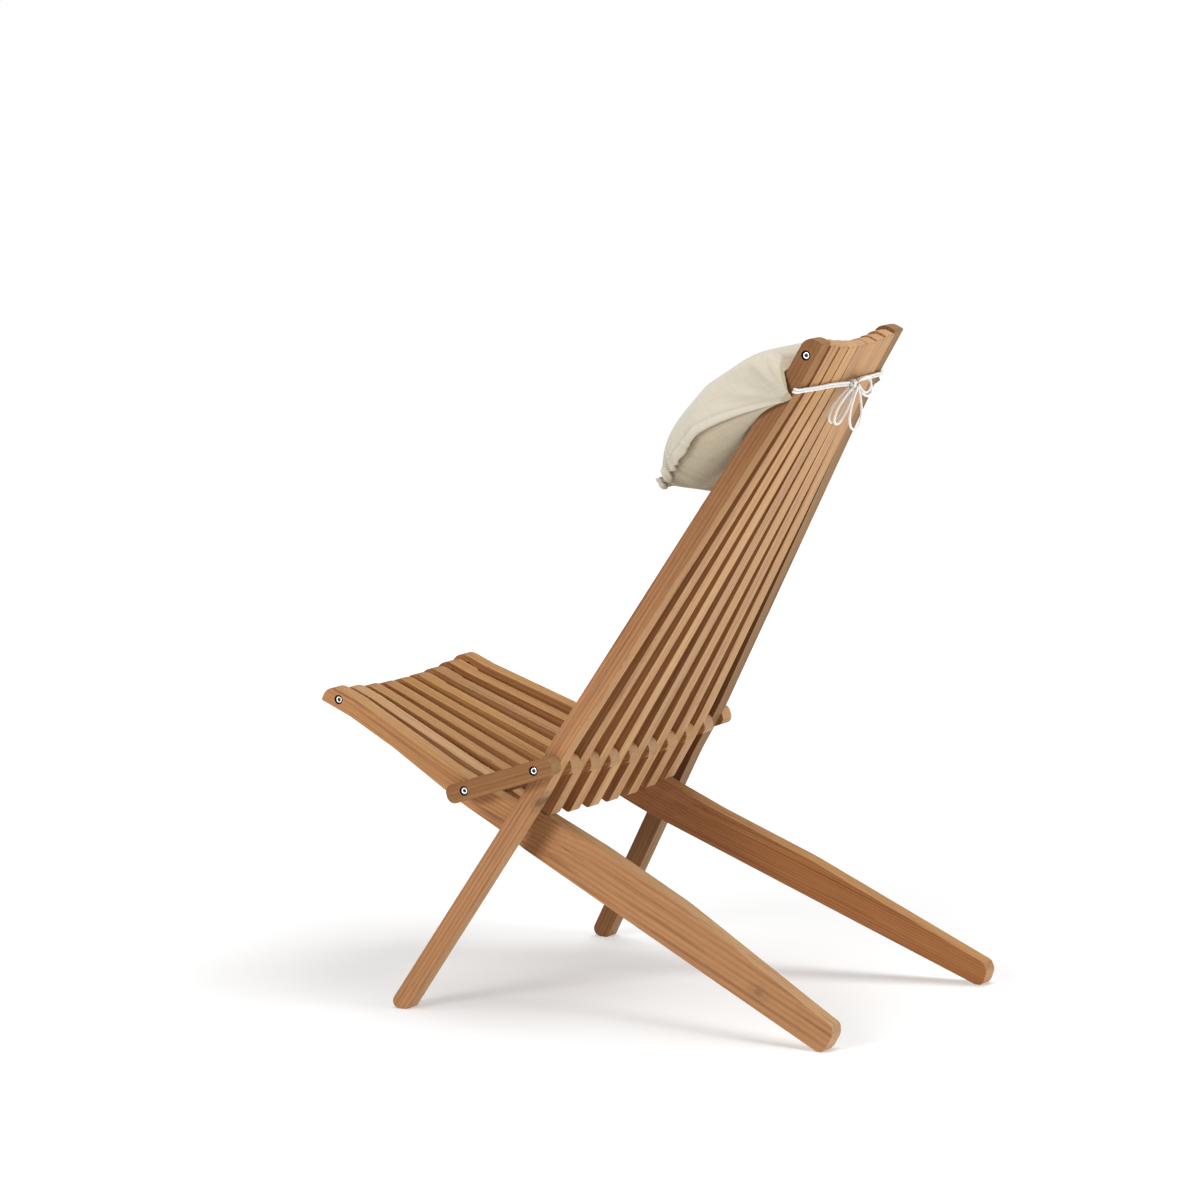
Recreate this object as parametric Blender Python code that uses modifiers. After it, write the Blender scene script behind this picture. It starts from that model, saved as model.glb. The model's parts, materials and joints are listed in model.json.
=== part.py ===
"""Folding slatted lounge chair in teak, with a tied-on neck pillow.

Two sets of sticks cross between the legs: the seat set runs from the front
edge of the seat down to the rear feet, the back set from the top of the back
down to the front feet.  Ten short links join the sets on two cross rods, so the
back folds down over the seat.  The chair faces -Y, the sitter's left is at -X,
the floor is Z = 0 and the origin is on the floor under the middle of the
chair's box.  Side profiles are drawn in the YZ plane, in millimetres, measured
from the rear folding rod; everything placed in the scene is in metres.
"""
import math

import bmesh
import bpy
from mathutils import Vector

# ----------------------------------------------------------------- dimensions
MM = 0.001
Y_DATUM = -29.591          # world Y of the rear folding rod, mm
STICK_T = 23.2             # thickness of every slat and leg, across the chair
LINK_T = 22.6              # thickness of a link
COLUMN = 23.8              # pitch of the 19 columns on the folding rods
BACK_PITCH = 23.7          # pitch of the back slats at the top rod
SEAT_PITCH = 38.4          # pitch of the seat slats at the front rod
HALF_D = 11.25             # half depth of a slat, seen from the side
LINK_HALF_D = 11.5         # half depth of a link
LINK_OVER = 25.0           # link beyond each rod
FLAT_RUN = 20.0            # sticks stay square to the rods this far from them
BEND_RUN = 12.0            # half of the run over which they start to fan

ROD_FRONT = (-303.1, 346.3)     # (y, z) of the rod through the seat's front
ROD_SEAT = (-93.7, 262.5)       # folding rod through seat slats and links
ROD_BACK = (0.0, 294.2)         # folding rod through links and back slats
ROD_R = 3.0                     # rod radius
ROD_CLEAR = 0.45                # play round a rod
SAG_FOLD = (12.0, 205.0)        # bow of the folding rods: depth, half span
SAG_FRONT = (10.6, 150.0)       # bow of the front rod

SEAT_SLOPE = math.radians(22.96)   # seat falls towards the back
BACK_LEAN = math.radians(30.34)    # back leans from the vertical
BACK_SET = 4.3                     # back slats' centre line behind their rod
BACK_ROD_TOP = 571.6               # top rod, along the back from the fold rod
BACK_OVER = 23.4                   # slat beyond the top rod
BACK_PARALLEL = 30.0               # slats lie side by side this far below it
SEAT_OVER = 21.5                   # seat slat beyond the front rod
SEAT_PARALLEL = 22.0               # seat slats run parallel this far behind it
FRONT_FOOT_X = 246.4               # centre of a front foot from the middle
REAR_FOOT_X = 209.5                # centre of a rear foot from the middle
REAR_LEG_ROLL = 0.26               # rear legs' top edges lean in, per unit of depth
FOLD_ANGLE = math.radians(48.0)    # turn of each of the two folding rods
TOUCH = 0.5                        # gap kept where sticks rest on each other

SPACER_FRONT, SPACER_REAR = 19.0, 20.0   # spacer in front of and behind its rod
SPACER_LOW, SPACER_HIGH = -9.0, 5.5      # spacer below and above the slat axis

RECESS_R, RECESS_DEEP = 5.6, 5.0   # counterbore round each rod end
HEAD_R, HEAD_LONG = 4.2, 3.5       # bolt head in the counterbore
SOCKET_R, SOCKET_DEEP = 2.3, 2.0   # hexagon socket in the head

PILLOW_HALF_X = 0.155              # pillow across the chair
PILLOW_U = (0.349, 0.553)          # pillow along the back, from the fold rod
PILLOW_FRONT = 0.061               # bulge of its front off the seam round it
PILLOW_REAR = 0.075                # bulge of its rear, where nothing stops it
PILLOW_EDGE = 0.011                # thickness of the seamed edge
PILLOW_SEAM = (0.054, 0.018)       # seam's place off the slats: bottom, top
SLEEVE_X = (0.1136, 0.1186)        # end sleeve beside the outer slat
SLEEVE_FRONT = (-0.040, 0.494, 0.554)   # sleeve's front end: n, and from u to u
SLEEVE_REAR = (0.009, 0.513, 0.539)     # sleeve's rear end
CORD_R = 0.0015                    # tie cord radius
CORD_GAP = 0.0004
KNOT = (-0.007, 0.5366)            # knot: x, and height along the back
KNOT_R = 0.0068

# --------------------------------------------------------------- start clean
for old in list(bpy.data.objects):
    bpy.data.objects.remove(old, do_unlink=True)

parts = bpy.data.collections.new("lounge_chair")
cutters = bpy.data.collections.new("cutters")
bpy.context.scene.collection.children.link(parts)
bpy.context.scene.collection.children.link(cutters)


def material(name, colour, roughness, metallic=0.0):
    mat = bpy.data.materials.new(name)
    mat.use_nodes = True
    bsdf = mat.node_tree.nodes["Principled BSDF"]
    bsdf.inputs["Base Color"].default_value = (*colour, 1.0)
    bsdf.inputs["Roughness"].default_value = roughness
    bsdf.inputs["Metallic"].default_value = metallic
    mat.diffuse_color = (*colour, 1.0)
    return mat


TEAK = material("teak", (0.42, 0.22, 0.10), 0.55)
TEAK_PALE = material("teak_pale", (0.52, 0.31, 0.15), 0.55)
STEEL = material("steel", (0.72, 0.72, 0.70), 0.28, 1.0)
LINEN = material("linen", (0.74, 0.69, 0.58), 0.9)
CORD_WHITE = material("cord_white", (0.90, 0.89, 0.86), 0.8)

# ------------------------------------------------------------ frame geometry
U = Vector((math.sin(BACK_LEAN), math.cos(BACK_LEAN)))      # up the back
N = Vector((math.cos(BACK_LEAN), -math.sin(BACK_LEAN)))     # out of its rear
T = Vector((math.cos(SEAT_SLOPE), -math.sin(SEAT_SLOPE)))   # rearwards, seat
M = Vector((math.sin(SEAT_SLOPE), math.cos(SEAT_SLOPE)))    # up from the seat
R_FRONT, R_SEAT, R_BACK = Vector(ROD_FRONT), Vector(ROD_SEAT), Vector(ROD_BACK)
R_TOP = R_BACK + N * BACK_SET + U * BACK_ROD_TOP
SEAT_RUN = (R_SEAT - R_FRONT).dot(T)


def sag(x, bow):
    """Downward bow of a rod at distance x from the middle of the chair."""
    depth, half = bow
    return depth * max(0.0, 1.0 - (x / half) ** 2)


def fan(s):
    """Length over which a stick has fanned out, s along it from its rod."""
    s = abs(s)
    if s <= FLAT_RUN:
        return 0.0
    if s >= FLAT_RUN + 2 * BEND_RUN:
        return s - FLAT_RUN - BEND_RUN
    return (s - FLAT_RUN) ** 2 / (4 * BEND_RUN)


BENDS = [FLAT_RUN, FLAT_RUN + BEND_RUN, FLAT_RUN + 2 * BEND_RUN]
BACK_FAN_END = BACK_ROD_TOP - BACK_PARALLEL
SEAT_FAN_END = SEAT_RUN - SEAT_PARALLEL


def drop(k):
    """How far slat k hangs below the outer slat: the dish of seat and back."""
    return sag(k * 2 * COLUMN, SAG_FOLD) - sag(8 * COLUMN, SAG_FOLD)


# ------------------------------------------------------------ outline helpers
def rounded(corners):
    """Closed outline from (point, radius) corners, each one rounded off."""
    pts = []
    count = len(corners)
    for i, (p, r) in enumerate(corners):
        a = (corners[i - 1][0] - p)
        b = (corners[(i + 1) % count][0] - p)
        da, db = a.normalized(), b.normalized()
        half = 0.5 * math.acos(max(-1.0, min(1.0, da.dot(db))))
        if r <= 0.0 or half > math.radians(89.5):
            pts.append(p.copy())
            continue
        reach = min(r / math.tan(half), 0.75 * a.length, 0.75 * b.length)
        r = reach * math.tan(half)
        centre = p + (da + db).normalized() * (r / math.sin(half))
        start, end = p + da * reach - centre, p + db * reach - centre
        a0 = math.atan2(start.y, start.x)
        sweep = math.atan2(end.y, end.x) - a0
        sweep = (sweep + math.pi) % (2 * math.pi) - math.pi
        steps = max(1, round(abs(sweep) * math.sqrt(r) / 1.05))
        for j in range(steps + 1):
            t = a0 + sweep * j / steps
            pts.append(centre + Vector((math.cos(t), math.sin(t))) * r)
    return pts


def circle(centre, radius, sides=10):
    return [centre + Vector((math.cos(2 * math.pi * j / sides + 0.3),
                             math.sin(2 * math.pi * j / sides + 0.3))) * radius
            for j in range(sides)]


def arc_slot(pivot, radius, angle0, angle1, half_width):
    """Outline of a curved slot of the given half width, round a pivot."""
    spans = 5
    turn = 1.0 if angle1 > angle0 else -1.0
    angles = [angle0 + (angle1 - angle0) * j / spans for j in range(spans + 1)]
    ray = lambda a: Vector((math.cos(a), math.sin(a)))
    outer = [pivot + ray(a) * (radius + half_width) for a in angles]
    inner = [pivot + ray(a) * (radius - half_width) for a in reversed(angles)]
    end = pivot + ray(angle1) * radius
    start = pivot + ray(angle0) * radius
    cap = lambda c, a, sign: [c + ray(a + sign * math.pi * j / 5) * half_width
                              for j in range(1, 5)]
    return (outer + cap(end, angle1, turn) + inner
            + cap(start, angle0 + math.pi, turn))


def sag_change(x, half, bow):
    """Most that a rod rises or falls within half a thickness of x."""
    return max(abs(sag(x + half, bow) - sag(x, bow)),
               abs(sag(x - half, bow) - sag(x, bow)))


def hole_radius(x, bow):
    if bow is None:
        return ROD_R + ROD_CLEAR + 0.15
    return ROD_R + sag_change(x, STICK_T / 2, bow) + ROD_CLEAR


def world(p, x=0.0):
    """World place, in metres, of a side-profile point given in millimetres."""
    return Vector((x * MM, (p.x + Y_DATUM) * MM, p.y * MM))


# --------------------------------------------------------------------- bodies
def empty(name, place):
    ob = bpy.data.objects.new(name, None)
    ob.empty_display_size = 0.05
    ob.location = place
    parts.objects.link(ob)
    return ob


SEAT = empty("axis_seat", world(R_SEAT))
LINKS = empty("axis_links", world(R_SEAT))
BACK = empty("axis_back", world(R_BACK))


def closed_mesh(name, bm):
    """Mesh from a closed bmesh, with its faces turned outwards."""
    bmesh.ops.recalc_face_normals(bm, faces=bm.faces)
    if bm.calc_volume(signed=True) < 0:
        bmesh.ops.reverse_faces(bm, faces=bm.faces)
    me = bpy.data.meshes.new(name)
    bm.to_mesh(me)
    bm.free()
    return me


def add_mesh(name, bm, mat, body, smooth=False):
    """New object from a bmesh in world metres, parented to its body's axis."""
    for v in bm.verts:
        v.co -= body.location
    me = closed_mesh(name, bm)
    me.materials.append(mat)
    if smooth:
        me.shade_smooth()
    ob = bpy.data.objects.new(name, me)
    ob.parent = body
    parts.objects.link(ob)
    return ob


def stick(name, loops, thickness, centre_x, cuts, shift, mat, body):
    """Flat stick: an outline with its holes, extruded, then fanned sideways.

    cuts are (point, direction) lines across it at which it can bend, and
    shift(p) is how far the stick has moved outwards at side-profile point p.
    """
    curve = bpy.data.curves.new(name + "_outline", "CURVE")
    curve.dimensions = "2D"
    curve.fill_mode = "BOTH"
    curve.extrude = thickness / 2
    for pts in loops:
        spline = curve.splines.new("POLY")
        spline.points.add(len(pts) - 1)
        for point, p in zip(spline.points, pts):
            point.co = (p.x, p.y, 0.0, 1.0)
        spline.use_cyclic_u = True
    guide = bpy.data.objects.new(name + "_outline", curve)
    parts.objects.link(guide)
    bpy.context.view_layer.update()
    graph = bpy.context.evaluated_depsgraph_get()
    flat = bpy.data.meshes.new_from_object(guide.evaluated_get(graph))
    bm = bmesh.new()
    bm.from_mesh(flat)
    bpy.data.objects.remove(guide, do_unlink=True)
    bmesh.ops.remove_doubles(bm, verts=bm.verts, dist=0.002)
    for p, d in cuts:
        bmesh.ops.bisect_plane(bm, geom=bm.verts[:] + bm.edges[:] + bm.faces[:],
                               dist=0.0005, plane_co=(p.x, p.y, 0.0),
                               plane_no=(d.x, d.y, 0.0))
    side = -1.0 if centre_x < 0 else 1.0
    for v in bm.verts:
        p = Vector((v.co.x, v.co.y))
        v.co = world(p, centre_x + side * shift(p) + v.co.z)
    bmesh.ops.triangulate(bm, faces=[f for f in bm.faces if len(f.verts) > 4])
    return add_mesh(name, bm, mat, body)


# ---------------------------------------------------------------- seat slats
def seat_point(s, n, low=0.0):
    """Point s behind the front rod along the seat, n above the slat's axis."""
    return R_FRONT + T * s + M * n + Vector((0.0, -low))


def back_point(u, n, low=0.0):
    """Point u up the back from the fold rod, n behind the slat's axis."""
    return R_BACK + N * (BACK_SET + n) + U * u + Vector((0.0, -low))


def seat_shift(k, foot=None):
    """Sideways place of seat slat k along its length, from its column."""
    column, front = abs(k) * 2 * COLUMN, abs(k) * SEAT_PITCH

    def shift(p):
        s = (p - R_SEAT).dot(T)
        if s < 0:
            run = min(-s, SEAT_FAN_END)
            return (front - column) * fan(run) / fan(SEAT_FAN_END)
        if foot is None:
            return 0.0
        roll = REAR_LEG_ROLL * min(1.0, fan(s) / 130.0)
        lean = roll * max(0.0, p.y - leg_under(p.x))
        return (foot - column) * fan(s) / fan(510.0) - lean
    return shift


def back_shift(k, foot=None):
    column, top = abs(k) * 2 * COLUMN, abs(k) * BACK_PITCH

    def shift(p):
        u = (p - R_BACK).dot(U)
        if u > 0:
            run = min(u, BACK_FAN_END)
            return (top - column) * fan(run) / fan(BACK_FAN_END)
        if foot is None:
            return 0.0
        return (foot - column) * fan(u) / fan(341.0)
    return shift


def leg_under(y):
    """Bottom edge of the long seat boards behind the folding rod."""
    return 185.4 - 0.4377 * (y + 47.8)


def leg_top(y):
    """Top edge of the long seat boards behind the folding rod."""
    a, b, slope = Vector((-75.0, 257.4)), Vector((-20.0, 227.0)), -0.4451
    if y < b.x:
        return a.y + (b.y - a.y) * (y - a.x) / (b.x - a.x)
    return b.y + slope * (y - b.x)


def seat_cuts(long=False):
    cuts = [(R_SEAT - T * d, T) for d in BENDS + [SEAT_FAN_END]]
    if long:
        cuts += [(R_SEAT + T * d, T) for d in BENDS + [100.0, 160.0]]
    return cuts


def back_cuts(long=False):
    cuts = [(R_BACK + U * d, U) for d in BENDS + [BACK_FAN_END]]
    if long:
        cuts += [(R_BACK - U * d, U) for d in BENDS]
    return cuts


def rod_place(rod, x, bow):
    return rod - Vector((0.0, sag(x, bow)))


def meet(line_point, line_dir, target_point, target_dir):
    """Where two lines in the side view cross."""
    w = target_point - line_point
    t = w.cross(target_dir) / line_dir.cross(target_dir)
    return line_point + line_dir * t


def seat_slat(k):
    """Seat slat in column k, from -4 to 4; plus and minus 3 are the rear legs."""
    low = drop(k)
    x = k * 2 * COLUMN
    tag = "seat_slat_%d" % (k + 5)
    front_hole = circle(rod_place(R_FRONT, k * SEAT_PITCH, SAG_FRONT),
                        hole_radius(k * SEAT_PITCH, SAG_FRONT))
    fold_hole = circle(rod_place(R_SEAT, x, SAG_FOLD), hole_radius(x, SAG_FOLD))
    if abs(k) == 3:
        top = [(seat_point(-SEAT_OVER, HALF_D, low), 16.0),
               (Vector((-75.0, leg_top(-75.0))), 90.0),
               (Vector((-20.0, leg_top(-20.0))), 90.0),
               (Vector((170.0, leg_top(170.0))), 160.0),
               (Vector((371.0, 37.4)), 9.0)]
        foot = [(Vector((386.5, 29.5)), 7.0), (Vector((389.0, 18.5)), 6.0),
                (Vector((383.0, 5.0)), 8.0), (Vector((378.5, 0.0)), 2.0),
                (Vector((371.5, 0.0)), 2.0)]
        under = [(Vector((-48.0, leg_under(-48.0))), 90.0),
                 (Vector((-330.1, 333.3)), 2.0)]
        outline = rounded(top + foot + under)
        return stick("rear_leg_board_" + ("l" if k < 0 else "r"),
                     [outline, front_hole, fold_hole], STICK_T, x,
                     seat_cuts(True), seat_shift(k, REAR_FOOT_X), TEAK, SEAT)
    stop = back_point(0.0, -HALF_D - TOUCH, low)
    a, b = seat_point(0.0, HALF_D, low), seat_point(0.0, -HALF_D, low)
    outline = rounded([
        (seat_point(-SEAT_OVER, HALF_D, low), 16.0),
        (meet(a, T, stop, U), 1.5),
        (meet(b, T, stop, U), 9.0),
        (seat_point(-SEAT_OVER, -HALF_D, low), 1.5)])
    return stick(tag, [outline, front_hole, fold_hole], STICK_T, x,
                 seat_cuts(), seat_shift(k), TEAK_PALE, SEAT)


# ---------------------------------------------------------------- back slats
def back_slat(k):
    """Back slat in column k; plus and minus 4 run on as the front legs."""
    low = drop(k)
    x = k * 2 * COLUMN
    top_hole = circle(R_TOP, hole_radius(0, None))
    fold_hole = circle(rod_place(R_BACK, x, SAG_FOLD), hole_radius(x, SAG_FOLD))
    top_u = BACK_ROD_TOP + BACK_OVER
    head = [(back_point(top_u - 2.0, -HALF_D, low), 15.0),
            (back_point(top_u, HALF_D, low), 1.5)]
    if abs(k) == 4:
        floor, level = Vector((0.0, 0.0)), Vector((1.0, 0.0))
        foot = [(meet(back_point(0, HALF_D), U, floor, level), 1.5),
                (meet(back_point(0, -HALF_D), U, floor, level), 9.0)]
        outline = rounded(head + foot)
        return stick("front_leg_stick_" + ("l" if k < 0 else "r"),
                     [outline, top_hole, fold_hole], STICK_T, x,
                     back_cuts(True), back_shift(k, FRONT_FOOT_X), TEAK, BACK)
    # the slats beside the rear legs rest on them; the others end level
    rest = drop(3)
    ends = []
    for n in (HALF_D, -HALF_D):
        u = -60.0
        for _ in range(30):
            p = back_point(u, n, rest)
            u -= (p.y - leg_top(p.x) - TOUCH * 1.2) * math.cos(BACK_LEAN)
        ends.append(u)
    outline = rounded(head + [(back_point(ends[0], HALF_D, low), 4.0),
                              (back_point(ends[1], -HALF_D, low), 8.0)])
    return stick("back_slat_%d" % (k + 5), [outline, top_hole, fold_hole],
                 STICK_T, x, back_cuts(), back_shift(k), TEAK_PALE, BACK)


# --------------------------------------------------------------------- links
def link(i):
    """Link in column i of 10, outer ones on the pivots, inner ones bowed down.

    The folding rods bow, so the inner links have curved slots for them.
    """
    x = (9 - 2 * i) * COLUMN
    low = 0.0 if i in (0, 9) else sag(x, SAG_FOLD)
    along = (R_BACK - R_SEAT).normalized()
    up = Vector((-along.y, along.x))
    base = Vector((0.0, -low))
    span = (R_BACK - R_SEAT).length
    at = lambda s, n: R_SEAT + base + along * s + up * n
    outline = rounded([
        (at(-LINK_OVER, -LINK_HALF_D), 10.0), (at(span + LINK_OVER, -LINK_HALF_D), 9.0),
        (at(span + LINK_OVER, LINK_HALF_D), 9.0), (at(-LINK_OVER, LINK_HALF_D), 10.0)])
    if low == 0.0:
        r = ROD_R + ROD_CLEAR + 0.15
        holes = [circle(R_SEAT, r), circle(R_BACK, r)]
    else:
        r = hole_radius(x, SAG_FOLD)
        down = -math.pi / 2
        play = math.radians(1.0)
        holes = [arc_slot(R_SEAT, low, down + play, down - FOLD_ANGLE - play, r),
                 arc_slot(R_BACK, low, down - play, down + FOLD_ANGLE + play, r)]
    return stick("link_%d" % (i + 1), [outline] + holes, LINK_T, x, [],
                 lambda p: 0.0, TEAK, LINKS)


# ------------------------------------------------------------------- spacers
def spacer(j):
    """Block between seat slats j and j + 1 on the front rod."""
    x = (j + 0.5) * SEAT_PITCH
    low = (drop(j) + drop(j + 1)) / 2
    gap = SEAT_PITCH - STICK_T
    at = lambda s, n: seat_point(s, n, low)
    outline = rounded([
        (at(-SPACER_FRONT, SPACER_LOW), 2.0), (at(SPACER_REAR, SPACER_LOW), 5.0),
        (at(SPACER_REAR, SPACER_HIGH), 8.0), (at(-SPACER_FRONT, SPACER_HIGH), 8.0)])
    hole = circle(rod_place(R_FRONT, x, SAG_FRONT),
                  ROD_R + sag_change(x, gap / 2, SAG_FRONT) + ROD_CLEAR)
    return stick("seat_spacer_%d" % (j + 5), [outline, hole], gap - 0.7, x, [],
                 lambda p: 0.0, TEAK, SEAT)


for k in range(-4, 5):
    seat_slat(k)
for k in range(-4, 5):
    back_slat(k)
for i in range(10):
    link(i)
for j in range(-4, 4):
    spacer(j)


# -------------------------------------------------- rods, heads, counterbores
def rod(name, place, half, bow, body):
    """Steel cross rod, bowed down in the middle like the slats it carries."""
    count = 23 if bow else 3
    curve = bpy.data.curves.new(name, "CURVE")
    curve.dimensions = "3D"
    curve.bevel_depth = ROD_R * MM
    curve.bevel_resolution = 3
    curve.use_fill_caps = True
    curve.materials.append(STEEL)
    spline = curve.splines.new("POLY")
    spline.points.add(count - 1)
    for j, point in enumerate(spline.points):
        x = half * (2 * j / (count - 1) - 1)
        low = sag(x, bow) if bow else 0.0
        point.co = (*(world(place - Vector((0.0, low)), x) - body.location), 1.0)
    ob = bpy.data.objects.new(name, curve)
    ob.parent = body
    parts.objects.link(ob)
    return ob


def disc(name, radius, length, centre, sides, turn=0.0):
    """Cylinder mesh along X, in world metres."""
    bm = bmesh.new()
    bmesh.ops.create_cone(bm, cap_ends=True, segments=sides, radius1=radius * MM,
                          radius2=radius * MM, depth=length * MM)
    for v in bm.verts:
        a = math.atan2(v.co.y, v.co.x) + turn
        r = math.hypot(v.co.x, v.co.y)
        v.co = centre + Vector((v.co.z, r * math.cos(a), r * math.sin(a)))
    return closed_mesh(name, bm)


def cut(target, name, mesh):
    """Take a cutter's shape away from a part."""
    tool = bpy.data.objects.new(name, mesh)
    tool.hide_render = True
    tool.display_type = "WIRE"
    cutters.objects.link(tool)
    mod = target.modifiers.new(name, "BOOLEAN")
    mod.operation = "DIFFERENCE"
    mod.solver = "EXACT"
    mod.object = tool


def rod_ends(name, place, face, body, outer):
    """Counterbores in the outer sticks and a socket head bolt in each."""
    for side, tag, stick_name in ((-1, "l", outer[0]), (1, "r", outer[1])):
        target = bpy.data.objects[stick_name]
        seat = world(place, side * (face - RECESS_DEEP / 2 + 1.0))
        cut(target, "cut_recess_%s_%s" % (name, tag),
            disc("recess", RECESS_R, RECESS_DEEP + 2.0, seat, 20))
        mid = world(place, side * (face - RECESS_DEEP + 0.35 + HEAD_LONG / 2))
        me = disc("bolt_%s_%s" % (name, tag), HEAD_R, HEAD_LONG, mid - body.location, 20)
        me.materials.append(STEEL)
        ob = bpy.data.objects.new("bolt_%s_%s" % (name, tag), me)
        ob.parent = body
        parts.objects.link(ob)
        end = world(place, side * (face - RECESS_DEEP + 0.35 + HEAD_LONG))
        cut(ob, "cut_socket_%s_%s" % (name, tag),
            disc("socket", SOCKET_R, SOCKET_DEEP * 2, end, 6, 0.2))


FACE_LINK = 9 * COLUMN + LINK_T / 2
FACE_SEAT = 4 * SEAT_PITCH + STICK_T / 2
FACE_TOP = 4 * BACK_PITCH + STICK_T / 2
for name, place, face, bow, body, outer in (
        ("front", R_FRONT, FACE_SEAT, SAG_FRONT, SEAT, ("seat_slat_1", "seat_slat_9")),
        ("seat_fold", R_SEAT, FACE_LINK, SAG_FOLD, SEAT, ("link_10", "link_1")),
        ("back_fold", R_BACK, FACE_LINK, SAG_FOLD, BACK, ("link_10", "link_1")),
        ("top", R_TOP, FACE_TOP, None, BACK, ("front_leg_stick_l", "front_leg_stick_r"))):
    rod("rod_" + name, place, face - RECESS_DEEP, bow, body)
    rod_ends(name, place, face, body, outer)


# -------------------------------------------------------------------- pillow
def on_back(u, n, x, low=0.0):
    """World place u up the back, n behind the outer slats' axis, in metres."""
    return world(back_point(u / MM, n / MM, low), x / MM)


def pillow():
    """Filled neck pillow: fullest low down, thin at the seam round its edge."""
    bm = bmesh.new()
    bmesh.ops.create_cube(bm, size=2.0)
    bmesh.ops.subdivide_edges(bm, edges=bm.edges[:], cuts=5, use_grid_fill=True)
    mid_u, half_u = sum(PILLOW_U) / 2, (PILLOW_U[1] - PILLOW_U[0]) / 2
    skin = -(HALF_D * MM + 0.0012)
    for v in bm.verts:
        a, b, c = v.co
        low, high = PILLOW_SEAM
        seam = low + (high - low) * (b + 1) / 2
        full = (1 - abs(a) ** 2.2) * math.sqrt(1 - b ** 6)
        front = (seam + PILLOW_EDGE / 2
                 + PILLOW_FRONT * full * (1 - 0.55 * max(0.0, b)))
        rear = max(0.0, seam - PILLOW_EDGE / 2 - PILLOW_REAR * full)
        off = rear + (front - rear) * (c + 1) / 2
        u = mid_u + half_u * 1.03 * b * (1 - 0.05 * a * a * b * b)
        u -= 0.006 * (1 - a * a) * b ** 3
        x = PILLOW_HALF_X * 1.03 * a * (1 - 0.05 * a * a * b * b)
        v.co = on_back(u, skin - off, x)
    me_ob = add_mesh("pillow", bm, LINEN, BACK)
    mod = me_ob.modifiers.new("soft", "SUBSURF")
    mod.levels = mod.render_levels = 1
    for side, tag in ((-1, "l"), (1, "r")):
        box = bmesh.new()
        bmesh.ops.create_cube(box, size=1.0)
        for v in box.verts:
            x = side * (SLEEVE_X[0] + (SLEEVE_X[1] - SLEEVE_X[0]) * (v.co.x + 0.5))
            n, low, high = (SLEEVE_FRONT, SLEEVE_REAR)[v.co.z > 0]
            v.co = on_back(high if v.co.y > 0 else low, n, x)
        me = closed_mesh("sleeve_" + tag, box)
        tool = bpy.data.objects.new("join_sleeve_" + tag, me)
        tool.hide_render = True
        tool.display_type = "WIRE"
        cutters.objects.link(tool)
        join = me_ob.modifiers.new("sleeve_" + tag, "BOOLEAN")
        join.operation = "UNION"
        join.solver = "EXACT"
        join.object = tool
    return me_ob


pillow()


# ---------------------------------------------------------------------- cord
def smooth_points(way, count):
    """Evenly spaced points on a smooth curve through the given ones."""
    gap = [(b - a).length for a, b in zip(way, way[1:])]
    rate = [(b - a) / g for a, b, g in zip(way, way[1:], gap)]
    slope = [rate[0]]
    for i in range(1, len(way) - 1):
        slope.append((rate[i - 1] * gap[i] + rate[i] * gap[i - 1])
                     / (gap[i] + gap[i - 1]))
    slope.append(rate[-1])
    dense = []
    for i, g in enumerate(gap):
        for j in range(24):
            t = j / 24
            dense.append(way[i] * (1 - t) ** 2 * (1 + 2 * t)
                         + way[i + 1] * t * t * (3 - 2 * t)
                         + slope[i] * g * t * (1 - t) ** 2
                         - slope[i + 1] * g * t * t * (1 - t))
    dense.append(way[-1])
    length = [0.0]
    for a, b in zip(dense, dense[1:]):
        length.append(length[-1] + (b - a).length)
    out, i = [], 0
    for j in range(count):
        want = length[-1] * j / (count - 1)
        while i < len(length) - 2 and length[i + 1] < want:
            i += 1
        t = (want - length[i]) / max(length[i + 1] - length[i], 1e-9)
        out.append(dense[i].lerp(dense[i + 1], min(1.0, t)))
    return out


def cord(name, way, count):
    curve = bpy.data.curves.new(name, "CURVE")
    curve.dimensions = "3D"
    curve.bevel_depth = CORD_R
    curve.bevel_resolution = 2
    curve.use_fill_caps = True
    curve.materials.append(CORD_WHITE)
    pts = smooth_points(way, count)
    spline = curve.splines.new("POLY")
    spline.points.add(count - 1)
    for point, p in zip(spline.points, pts):
        point.co = (*(p - BACK.location), 1.0)
    ob = bpy.data.objects.new(name, curve)
    ob.parent = BACK
    parts.objects.link(ob)
    return ob


def rear_skin(x):
    """Height of a cord's axis above the outer slats' axis, over the dish."""
    half = 4.5 * BACK_PITCH * MM
    bulge = max(0.0, 1.0 - (x / half) ** 2)
    return (HALF_D + 0.5) * MM + CORD_R + 0.0059 * bulge


knot_x, knot_u = KNOT
knot_n = rear_skin(knot_x) + 0.0058
knot_at = on_back(knot_u, knot_n, knot_x)


def strand(name, side, step):
    """One of the two strands from a pillow sleeve, round the slat, to the knot."""
    start_u = (0.5315 if side > 0 else 0.5330) + step
    end_u = knot_u + step
    way = [on_back(start_u, 0.0108, side * 0.1155),
           on_back(start_u, 0.0124, side * 0.1144)]
    stop = knot_x + side * (KNOT_R + 0.0004)
    for j in range(7):
        t = j / 6
        x = side * 0.1095 * (1 - t) + stop * t
        u = start_u * (1 - t) + end_u * t
        lift = 0.0042 * max(0.0, (t - 0.72) / 0.28)
        way.append(on_back(u, rear_skin(x) + lift, x))
    return cord(name, way, 22 if side > 0 else 16)


strand("cord_r_upper", 1, 0.0018)
strand("cord_r_lower", 1, -0.0018)
strand("cord_l_upper", -1, 0.0018)
strand("cord_l_lower", -1, -0.0018)

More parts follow.
